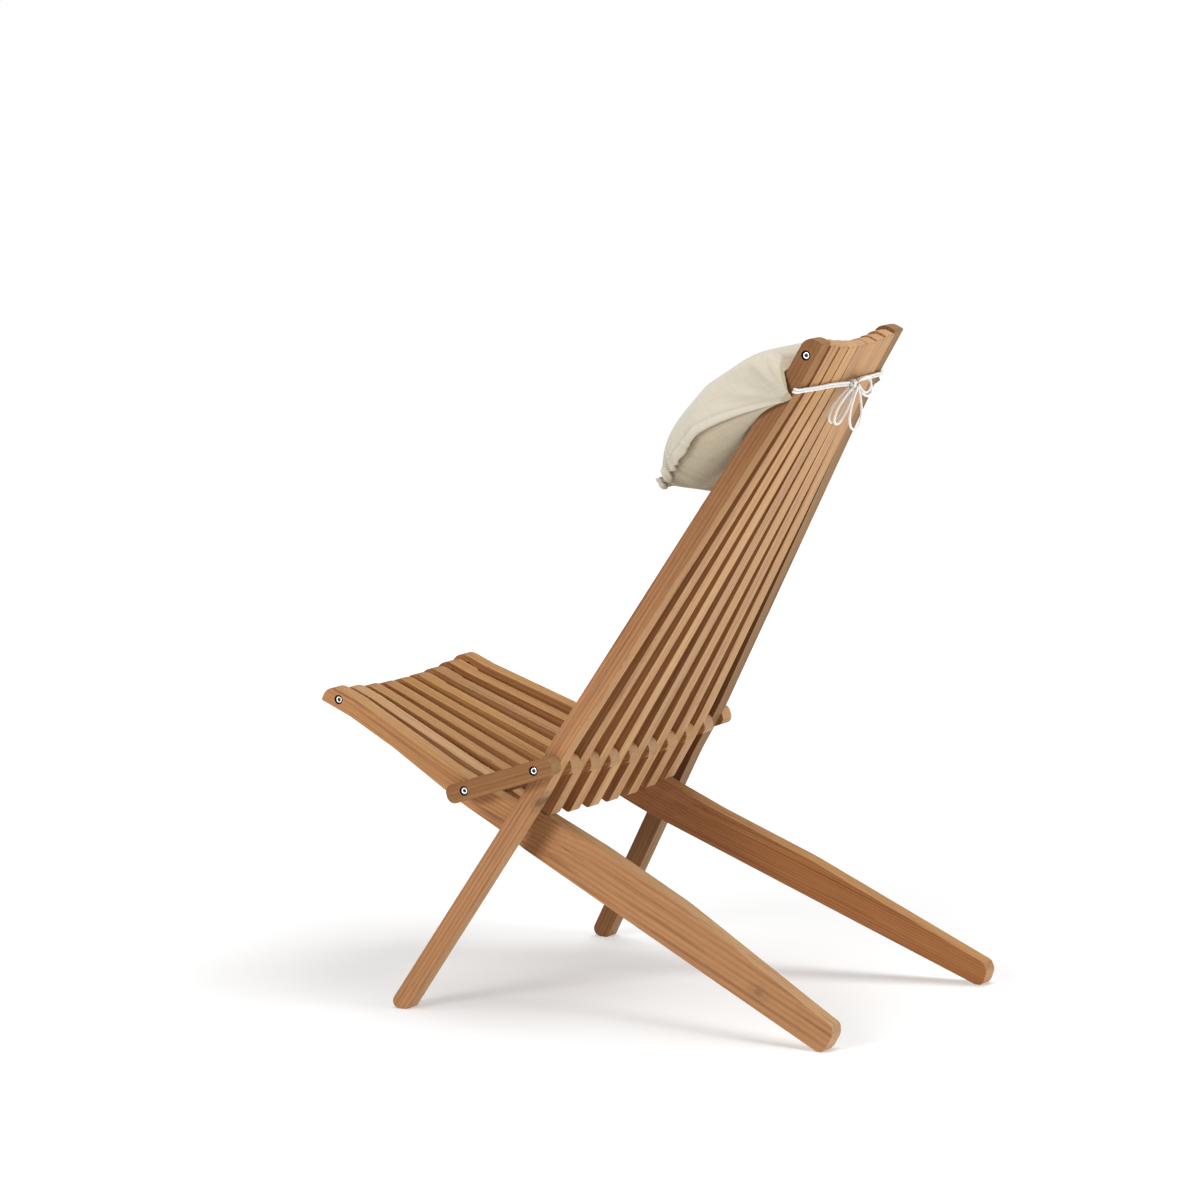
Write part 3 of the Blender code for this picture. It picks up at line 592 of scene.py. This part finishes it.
def knot():
    """Bow knot: two wraps round the gathered strands and a pair through them."""
    def spot(x, u, n):
        return on_back(knot_u + u * MM, knot_n + n * MM, knot_x + x * MM)

    steps = 46
    wraps = []
    for shift, tilt in ((-1.7, 0.9), (1.6, 0.5)):
        wraps.append([spot(shift + tilt * math.sin(2 * math.pi * j / steps),
                           4.7 * math.cos(2 * math.pi * j / steps),
                           3.7 * math.sin(2 * math.pi * j / steps))
                      for j in range(steps)])
    through = []
    for u, n, bow in ((1.5, -0.6, 0.6), (-1.7, -0.7, 0.6), (0.1, 1.3, 0.5)):
        through.append([spot(-5.3 + 10.6 * j / 30, u,
                             n + bow * math.sin(math.pi * j / 30))
                        for j in range(31)])
    ob = cord_mesh("tie_knot", wraps, CORD_R, closed=True)
    inner = cord_mesh("tie_knot_core", through, CORD_R * 0.98)
    bm = bmesh.new()
    bm.from_mesh(ob.data)
    bm.from_mesh(inner.data)
    bm.to_mesh(ob.data)
    bm.free()
    bpy.data.objects.remove(inner, do_unlink=True)
    ob.data.shade_smooth()
    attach(ob, "back")
    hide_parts("cord_knot")


knot()

# --------------------------------------------------------- sticks and links
FLAT_RUN, BEND_RUN = 0.020, 0.012
BACK_FAN_END = BACK_ROD_TOP - 0.030
SEAT_RUN = (ROD_SEAT - ROD_FRONT).dot(T)
SEAT_FAN_END = SEAT_RUN - 0.022
FRONT_FOOT_X, REAR_FOOT_X = 0.2464, 0.2095


def fan(s):
    """Length over which a stick has fanned out, s along it from its rod."""
    s = abs(s)
    if s <= FLAT_RUN:
        return 0.0
    if s >= FLAT_RUN + 2 * BEND_RUN:
        return s - FLAT_RUN - BEND_RUN
    return (s - FLAT_RUN) ** 2 / (4 * BEND_RUN)


def centre_line(name):
    """Function giving a stick's middle X at a point, and its own axes."""
    if name.startswith("back_slat") or name.startswith("front_leg"):
        k = {"front_leg_stick_l": -4, "front_leg_stick_r": 4}.get(name)
        k = int(name.split("_")[-1]) - 5 if k is None else k
        side = -1 if k < 0 else 1

        def middle(p):
            u = (p - ROD_BACK).dot(U)
            x = abs(k) * 2 * COLUMN
            if u > 0:
                run = min(u, BACK_FAN_END)
                x += (abs(k) * BACK_PITCH - x) * fan(run) / fan(BACK_FAN_END)
            elif abs(k) == 4:
                x += (FRONT_FOOT_X - x) * fan(u) / fan(0.341)
            return side * x
        return middle, ROD_BACK, N, U
    if name.startswith("seat_slat") or name.startswith("rear_leg"):
        k = {"rear_leg_board_l": -3, "rear_leg_board_r": 3}.get(name)
        k = int(name.split("_")[-1]) - 5 if k is None else k
        side = -1 if k < 0 else 1

        def middle(p):
            s = (p - ROD_SEAT).dot(T)
            x = abs(k) * 2 * COLUMN
            if s < 0:
                run = min(-s, SEAT_FAN_END)
                x += (abs(k) * SEAT_PITCH - x) * fan(run) / fan(SEAT_FAN_END)
            elif abs(k) == 3 and name.startswith("rear"):
                x += (REAR_FOOT_X - x) * fan(s) / fan(0.510)
            return side * x
        return middle, ROD_SEAT, M, T
    if name.startswith("link"):
        along = (ROD_BACK - ROD_SEAT).normalized()
        low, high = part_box(name)
        x = (low[0] + high[0]) / 2
        return (lambda p: x), ROD_SEAT, Vector((0, -along.z, along.y)), along
    low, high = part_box(name)
    x = (low[0] + high[0]) / 2
    return (lambda p: x), ROD_FRONT, M, T


# warmth (0 golden, 1 reddish), brightness and saturation of each stick
TONES = {
    "front_leg_stick_r": (0.80, 1.02, 1.02), "front_leg_stick_l": (0.40, 0.55, 1.06),
    "back_slat_8": (0.60, 0.99, 0.97), "back_slat_7": (0.30, 1.03, 0.99),
    "back_slat_6": (0.10, 1.10, 0.97), "back_slat_5": (0.55, 1.01, 0.94),
    "back_slat_4": (0.32, 1.03, 0.98), "back_slat_3": (0.66, 1.00, 0.95),
    "back_slat_2": (0.40, 1.03, 0.97),
    "rear_leg_board_r": (0.08, 1.10, 0.93), "rear_leg_board_l": (0.70, 1.00, 1.02),
    "seat_slat_9": (0.45, 1.04, 1.00), "seat_slat_7": (0.62, 0.93, 1.02),
    "seat_slat_6": (0.72, 0.96, 1.02), "seat_slat_5": (0.62, 0.96, 1.04),
    "seat_slat_4": (0.50, 1.00, 1.04), "seat_slat_3": (0.85, 0.94, 0.98),
    "seat_slat_1": (0.60, 0.96, 1.02),
    "link_1": (0.66, 0.70, 1.06),
}
ROD_LINES = (ROD_FRONT, ROD_SEAT, ROD_BACK, ROD_TOP)


# middle of a knot in the side of a stick (Y, Z) and how dark it is
KNOTS = {"front_leg_stick_r": (-0.0348, 0.2515, 0.85),
         "rear_leg_board_r": (0.2567, 0.0568, 0.42)}
OUTER = ("front_leg_stick_r", "front_leg_stick_l", "seat_slat_9", "seat_slat_1",
         "rear_leg_board_r", "rear_leg_board_l", "link_1", "link_10")


def wooden(name, body, order):
    """Teak piece from a CAD solid: eased edges and grain along its length."""
    mesh = nodes[name].data.copy()
    mesh.name = "wood_" + name
    mesh.materials.clear()
    bm = bmesh.new()
    bm.from_mesh(mesh)
    bmesh.ops.remove_doubles(bm, verts=bm.verts, dist=2e-6)
    bmesh.ops.dissolve_limit(bm, angle_limit=math.radians(0.35), verts=bm.verts,
                             edges=bm.edges)
    bm.to_mesh(mesh)
    bm.free()
    ob = link(bpy.data.objects.new("wood_" + name, mesh))
    ease = ob.modifiers.new("ease", "BEVEL")
    ease.width = 0.0005
    ease.segments = 3
    ease.limit_method = "ANGLE"
    ease.angle_limit = math.radians(48)
    ease.use_clamp_overlap = True
    ease.face_strength_mode = "FSTR_ALL"
    even = ob.modifiers.new("even", "WEIGHTED_NORMAL")
    even.keep_sharp = True
    even.use_face_influence = True
    settle(ob)
    mesh = ob.data
    mesh.materials.append(TEAK)
    mesh.materials.append(RECESS_PAINTED_SHADE)
    middle, origin, deep, along = centre_line(name)
    seed = 0.37 * order
    grain, edge = [], []
    for v in mesh.vertices:
        p = v.co
        grain.append((p.x - middle(p) + 0.13 * order, (p - origin).dot(deep) + seed,
                      (p - origin).dot(along) + 1.7 * order))
    put_attribute(mesh, "grain", "FLOAT_VECTOR", "POINT", grain)
    rng = random.Random(name)
    tone = TONES.get(name, (rng.uniform(0.15, 0.85), rng.uniform(0.98, 1.08),
                            rng.uniform(0.9, 1.02)))
    tones_with_painted_light = [tone] * len(mesh.vertices)
    if name == "front_leg_stick_r":
        # painted light: this stick is lighter at its foot and darkens towards its top, following the
        # light along it
        tones_with_painted_light = [(tone[0] + 0.25 * t, tone[1] * (1.12 - 0.52 * t), tone[2] * (0.94 + 0.14 * t))
                 for t in (smooth_step(((v.co - origin).dot(along) - 0.10) / 0.34)
                           for v in mesh.vertices)]
    put_attribute(mesh, "tone", "FLOAT_VECTOR", "POINT", tones_with_painted_light)
    y, z, strength = KNOTS.get(name, (0.0, 0.0, 0.0))
    at = Vector((0.0, y, z))
    put_attribute(mesh, "figure", "FLOAT_VECTOR", "POINT",
                  [((v.co - at).dot(deep), (v.co - at).dot(along), strength)
                   for v in mesh.vertices])
    ends, edges, sides = [], [], []
    for poly in mesh.polygons:
        across = abs(poly.normal.dot(along))
        ends.append(max(0.0, min(1.0, (across - 0.45) / 0.4)))
        flat = max(abs(poly.normal.x), abs(poly.normal.dot(deep)), across)
        edges.append(1.0 if flat < 0.93 and poly.area < 4e-4 else 0.0)
        # painted shade: faces across a slot get the full darker, redder share and the outer faces a
        # smaller one, standing in for the shade between the slats
        outward = poly.normal.x * middle(poly.center) > 0
        painted_side_shade = {"back": 1.0, "fron": 1.0, "seat": 0.80}.get(name[:4], 0.8)
        if outward and name in OUTER:
            painted_side_shade = 0.95 if name.startswith("rear") else 0.7
        elif name.startswith("rear"):
            painted_side_shade = 1.15
        sides.append(max(0.0, min(1.0, (abs(poly.normal.x) - 0.5) / 0.4)) * painted_side_shade)
        # painted shade: faces of the bolt holes round each rod are coloured near-black, standing in
        # for the shade inside the holes
        c = poly.center
        for rod in ROD_LINES:
            off = max(math.hypot(mesh.vertices[i].co.y - rod.y,
                                 mesh.vertices[i].co.z - rod.z)
                      for i in poly.vertices)
            if off < 0.0064 and abs(c.x - middle(c)) > 0.0055:
                poly.material_index = 1
    put_attribute(mesh, "endgrain", "FLOAT", "FACE", ends)
    put_attribute(mesh, "edge", "FLOAT", "FACE", edges)
    put_attribute(mesh, "broad", "FLOAT", "FACE", sides)
    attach(ob, body)
    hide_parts(name)
    return ob


BODY_OF = {}
for b, data in frame["record"]["behaviour"]["bodies"].items() if isinstance(
        frame["record"]["behaviour"]["bodies"], dict) else []:
    for n in (data["nodes"] if isinstance(data, dict) else data):
        BODY_OF[n] = b
for b in ([] if BODY_OF else frame["record"]["behaviour"]["bodies"]):
    for n in b["nodes"]:
        BODY_OF[n] = b["name"]

order = 0
for name in sorted(nodes):
    if name.startswith(("seat_slat", "rear_leg", "front_leg", "back_slat", "link_",
                        "seat_spacer")):
        order += 1
        wooden(name, BODY_OF[name], order)


# ------------------------------------------------------------ rods and bolts
def turned(name, material, width):
    """Steel piece from a CAD solid with its rims eased."""
    mesh = nodes[name].data.copy()
    mesh.name = "steel_" + name
    mesh.materials.clear()
    bm = bmesh.new()
    bm.from_mesh(mesh)
    bmesh.ops.remove_doubles(bm, verts=bm.verts, dist=2e-6)
    bmesh.ops.dissolve_limit(bm, angle_limit=math.radians(0.35), verts=bm.verts,
                             edges=bm.edges)
    bm.to_mesh(mesh)
    bm.free()
    ob = link(bpy.data.objects.new("steel_" + name, mesh))
    ease = ob.modifiers.new("ease", "BEVEL")
    ease.width = width
    ease.segments = 3
    ease.limit_method = "ANGLE"
    ease.angle_limit = math.radians(50)
    even = ob.modifiers.new("even", "WEIGHTED_NORMAL")
    even.keep_sharp = True
    settle(ob)
    ob.data.shade_smooth()
    ob.data.set_sharp_from_angle(angle=math.radians(32))
    ob.data.materials.append(material)
    if name.startswith("bolt_"):
        # painted shade: the socket and a collar round the head are coloured near-black, standing in
        # for the shade in the socket and in the hole round the head
        ob.data.materials.append(RECESS_PAINTED_SHADE)
        low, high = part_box(name)
        cy, cz = (low[1] + high[1]) / 2, (low[2] + high[2]) / 2
        face = high[0] if low[0] > 0 else low[0]
        rim = (high[1] - low[1]) / 2
        for poly in ob.data.polygons:
            c = poly.center
            radii = [math.hypot(ob.data.vertices[i].co.y - cy,
                                ob.data.vertices[i].co.z - cz)
                     for i in poly.vertices]
            if ((max(radii) < 0.0028 and 0.0004 < abs(c.x - face) < 0.0030)
                    or min(radii) > rim - 0.0006):
                poly.material_index = 1
    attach(ob, BODY_OF[name])
    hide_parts(name)


for name in sorted(nodes):
    if name.startswith("bolt_"):
        turned(name, BOLT, 0.0008)
    elif name.startswith("rod_"):
        turned(name, ROD, 0.0003)

# -------------------------------------------------------------------- pillow
PILLOW_HALF_X = 0.155
PILLOW_U = (0.349, 0.553)
PILLOW_FRONT = 0.061
PILLOW_REAR = 0.075
PILLOW_SEAM = (0.054, 0.018)
SKIN = -(HALF_D + 0.0014)          # the slats' front faces, less a hair
SLAT_SIDE = 0.1068                 # outer face of the outer back slats
NA, NB = 144, 150                 # cells across and up each panel


def panel_point(a, b, c):
    """Resting place of the pillow's cloth: (off the slats, up, across), m."""
    low, high = PILLOW_SEAM
    seam = low + (high - low) * (b + 1) / 2 + 0.004 * (1 - b * b)
    full = (1 - abs(a) ** 2.2) * math.sqrt(max(0.0, 1 - b ** 6))
    if c > 0:
        off = seam + 0.004 + PILLOW_FRONT * full * (1 - 0.55 * max(0.0, b))
    else:
        off = max(0.0, seam - 0.004 - PILLOW_REAR * full)
    mid_u, half_u = sum(PILLOW_U) / 2, (PILLOW_U[1] - PILLOW_U[0]) / 2
    pull = 1 - 0.045 * a * a * b * b
    dip = 0.006 * (1 - a * a) * b ** 3
    return off, mid_u + half_u * b * pull - dip, PILLOW_HALF_X * a * pull


def pillow():
    bm = bmesh.new()
    weave = bm.verts.layers.float_vector.new("weave")
    rear = bm.verts.layers.float.new("rear")
    painted_crease_shade = bm.verts.layers.float.new("painted_crease_shade")
    flange = 5                        # rows of the sewn edge past each side
    grids = {}
    for c in (1, -1):
        grid = []
        for j in range(NB + 1):
            b = -math.cos(math.pi * j / NB) * 0.35 + 0.65 * (2 * j / NB - 1)
            row = []
            for i in range(-flange, NA + 1 + flange):
                over = max(0, -i, i - NA)
                side = -1 if i < NA / 2 else 1
                # columns crowd towards the sides, where the folds are
                a = 2 * min(max(i, 0), NA) / NA - 1
                a = a * (1 + 0.30 * (1 - a * a))
                off, u, x = panel_point(a, b, c)
                # the sewn edge: a soft roll that leans over the rear panel
                out = over / flange
                turn = 0.5 * math.pi * out
                thin = 1 - 0.55 * smooth_step((b - 0.35) / 0.5)
                inset = (1 - abs(a)) * PILLOW_HALF_X
                x += side * 0.0080 * math.sin(turn) * (0.55 + 0.45 * thin)
                if over:
                    off -= c * (0.004 - 0.0050 * thin * math.cos(turn))
                    off -= 0.0036 * math.sin(turn)
                # gathers run off the seam, tight at the lower corners
                near = math.exp(-inset / 0.015)
                corner = smooth_step((-b - 0.52) / 0.34)
                phase = 2 * math.pi * (u / 0.0120 + 0.30 * math.sin(u * 190 + 2 * side))
                fold = 1 - 2 * abs(math.sin(phase / 2 + 0.5 * c + inset * 60)) ** 0.8
                off += (0.0010 * math.sin(phase) + 0.0042 * corner * fold) * near
                x -= side * 0.0034 * corner * near * (0.5 - 0.5 * fold)
                u += 0.0018 * corner * near * math.sin(phase * 0.5 + side)
                # the stitches draw creases on each side of the roll; painted shade darkens these
                # creases, the underside of the roll and the gathers' valleys
                painted_shade_amount = 0.75 * corner * near * max(0.0, -fold) ** 1.5
                if c > 0:
                    dip = math.exp(-((inset - 0.0095) / 0.0026) ** 2) * thin
                    off += 0.0016 * math.exp(-((inset - 0.002) / 0.0045) ** 2) * thin
                    off -= 0.0030 * dip
                    painted_shade_amount = max(painted_shade_amount, 0.22 * dip)
                elif not over:
                    dip = math.exp(-(inset / 0.0034) ** 2) * thin
                    off += 0.0062 * dip
                    painted_shade_amount = max(painted_shade_amount, 0.95 * dip)
                else:
                    painted_shade_amount = max(painted_shade_amount, 0.95 * (1 - out) ** 2 * thin)
                # soft sags in the cloth
                off += 0.0011 * math.sin(a * 7.3 + 1.1 * c) * math.sin(b * 5.1 + a * 2.0) * (1 - near)
                v = bm.verts.new(on_back(u, SKIN - max(off, 0.0), x))
                # painted shade mask: 1 over the rear panel, fading out across the sewn edge
                v[rear] = (1.0 - out) if c < 0 else 0.0
                v[painted_crease_shade] = painted_shade_amount
                v[weave] = (x, u + 3 * c, 0.3 * c)
                row.append(v)
            grid.append(row)
        grids[c] = grid
        width = len(grid[0])
        for j in range(NB):
            for i in range(width - 1):
                quad = (grid[j][i], grid[j][i + 1], grid[j + 1][i + 1], grid[j + 1][i])
                bm.faces.new(quad if c > 0 else quad[::-1])
    rim = []
    for c in (1, -1):
        g = grids[c]
        loop = (g[0] + [r[-1] for r in g[1:-1]] + g[-1][::-1]
                + [r[0] for r in g[-2:0:-1]])
        rim.append(loop)
    for k in range(len(rim[0])):
        m = (k + 1) % len(rim[0])
        bm.faces.new((rim[0][k], rim[1][k], rim[1][m], rim[0][m]))
    bmesh.ops.recalc_face_normals(bm, faces=bm.faces)
    mesh = bpy.data.meshes.new("neck_pillow")
    bm.to_mesh(mesh)
    bm.free()
    if sum(p.normal.dot(p.center - on_back(0.45, -0.05, 0)) * p.area
           for p in mesh.polygons) < 0:
        mesh.flip_normals()

    # draw the upper corners round the outer slats to where the cords leave
    count = len(mesh.vertices)
    co = np.empty(count * 3)
    mesh.vertices.foreach_get("co", co)
    co = co.reshape(-1, 3)
    origin = np.array(on_back(0.0, 0.0, 0.0))
    un, nn = np.array(U), np.array(N)
    up, out = (co - origin) @ un, (co - origin) @ nn
    x = co[:, 0].copy()
    edges = np.empty(len(mesh.edges) * 2, dtype=np.int64)
    mesh.edges.foreach_get("vertices", edges)
    edges = edges.reshape(-1, 2)
    degree = np.bincount(edges.ravel(), minlength=count)
    state = np.stack([x, up, out], 1)
    pull, near = np.zeros(count), np.zeros(count)
    for side in (-1, 1):
        tip = np.array([side * 0.1140, 0.5230, 0.0125])
        corner = np.array([side * 0.1480, 0.5480, -0.0310])
        gap = np.sqrt((np.clip(1 - side * x / PILLOW_HALF_X, 0, 9) / 0.40) ** 2
                      + (np.clip(0.553 - up, 0, 9) / 0.125) ** 2)
        w = np.where(side * x > 0, np.clip(1 - gap ** 2, 0, 1) ** 1.6, 0.0)
        pull = np.maximum(pull, w)
        near = np.maximum(near, np.where(side * x > 0,
                                         np.clip((1.10 - gap) * 3, 0, 1), 0.0))
        goal = tip + (state - corner) * np.array([0.10, 0.42, 0.22])
        state = state + (goal - state) * w[:, None]

    def clear(s):
        """Keeps the cloth off the outer slats."""
        side = np.sign(s[:, 0])
        ax = np.abs(s[:, 0])
        behind = s[:, 2] - SKIN
        beside = (SLAT_SIDE + 0.0016) - ax
        inside = (behind > 0) & (beside > 0)
        to_side = inside & ((beside < behind) | (ax > 0.1015))
        to_front = inside & ~to_side
        s[to_side, 0] = side[to_side] * (SLAT_SIDE + 0.0016)
        s[to_front, 2] = SKIN
        return s

    state = clear(state)
    for _ in range(70):
        total = np.zeros_like(state)
        np.add.at(total, edges[:, 0], state[edges[:, 1]])
        np.add.at(total, edges[:, 1], state[edges[:, 0]])
        mean = total / degree[:, None]
        rate = 0.5 * near * np.clip((0.88 - pull) * 8, 0, 1)
        state = clear(state + (mean - state) * rate[:, None])
    # soft creases fan out from where the cords pull
    for side in (-1, 1):
        back = 0.0125 - state[:, 2]
        rise = state[:, 1] - 0.5230
        reach = np.hypot(back, rise)
        angle = np.arctan2(rise, back)
        fan_out = (np.exp(-((reach - 0.050) / 0.026) ** 2)
                   * np.clip((side * state[:, 0] - 0.075) / 0.03, 0, 1))
        wave = np.sin(11 * angle + 1.3 * side) + 0.5 * np.sin(23 * angle + 0.7)
        state[:, 0] += side * 0.0011 * fan_out * wave
        state[:, 2] -= 0.0009 * fan_out * wave
    state = clear(state)
    co = origin + state[:, 1:2] * un + state[:, 2:3] * nn
    co[:, 0] = state[:, 0]
    mesh.vertices.foreach_set("co", co.ravel())
    mesh.update()
    ob = link(bpy.data.objects.new("neck_pillow", mesh))
    mesh.materials.append(LINEN)
    mesh.shade_smooth()
    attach(ob, "back")
    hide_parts("pillow")
    return ob


pillow()

# ------------------------------------------------------- floor and lights
floor = Nodes("studio_floor")
spread = floor.noise(floor.stretch(
    floor.node("ShaderNodeTexCoord").outputs["Object"], (3.0, 3.0, 3.0)), 1.0, 2.0)
floor.put(floor.mix(spread, (0.60, 0.60, 0.60, 1), (0.62, 0.62, 0.62, 1)),
          floor.bsdf.inputs["Base Color"])
floor.bsdf.inputs["Roughness"].default_value = 0.9
floor.bsdf.inputs["Specular IOR Level"].default_value = 0.1
# pale all the way out, where the lamps no longer reach
reach = floor.node("ShaderNodeVectorMath", operation="LENGTH",
                   in_0=floor.node("ShaderNodeTexCoord").outputs["Object"])
glow = floor.math("DIVIDE", floor.math("SUBTRACT", reach.outputs["Value"], 0.5),
                  2.0, clamp=True)
floor.put(floor.mix(glow, (0.40, 0.40, 0.40, 1), (0.94, 0.94, 0.94, 1)),
          floor.bsdf.inputs["Emission Color"])
floor.bsdf.inputs["Emission Strength"].default_value = 1.0
bm = bmesh.new()
ring = [bm.verts.new((90 * math.cos(2 * math.pi * j / 64),
                      90 * math.sin(2 * math.pi * j / 64), -0.0004))
        for j in range(64)]
bm.faces.new(ring)
floor_mesh = bpy.data.meshes.new("studio_floor")
bm.to_mesh(floor_mesh)
bm.free()
floor_mesh.materials.append(floor.mat)
stage = link(bpy.data.objects.new("studio_floor", floor_mesh))

world = bpy.data.worlds.new("studio")
world.use_nodes = True
world.node_tree.nodes["Background"].inputs["Color"].default_value = (1, 1, 1, 1)
world.node_tree.nodes["Background"].inputs["Strength"].default_value = 0.10
scene.world = world


def softbox(name, place, aim, size, energy, colour=(1, 1, 1)):
    data = bpy.data.lights.new(name, "AREA")
    data.shape = "SQUARE"
    data.size = size
    data.energy = energy
    data.color = colour
    ob = link(bpy.data.objects.new(name, data))
    place, aim = Vector(place), Vector(aim)
    ob.matrix_world = (Matrix.Translation(place)
                       @ (place - aim).to_track_quat("Z", "Y").to_matrix().to_4x4())


softbox("over_seat", (-0.3, 0.5, 3.1), (0.0, 0.0, 0.3), 2.0, 83)
softbox("behind_back", (-0.8, 4.2, 0.4), (0.0, 0.0, 0.25), 2.0, 116)
softbox("right_side", (3.5, -0.7, 1.6), (0.0, 0.0, 0.35), 1.2, 80)
scene.view_settings.view_transform = "Standard"
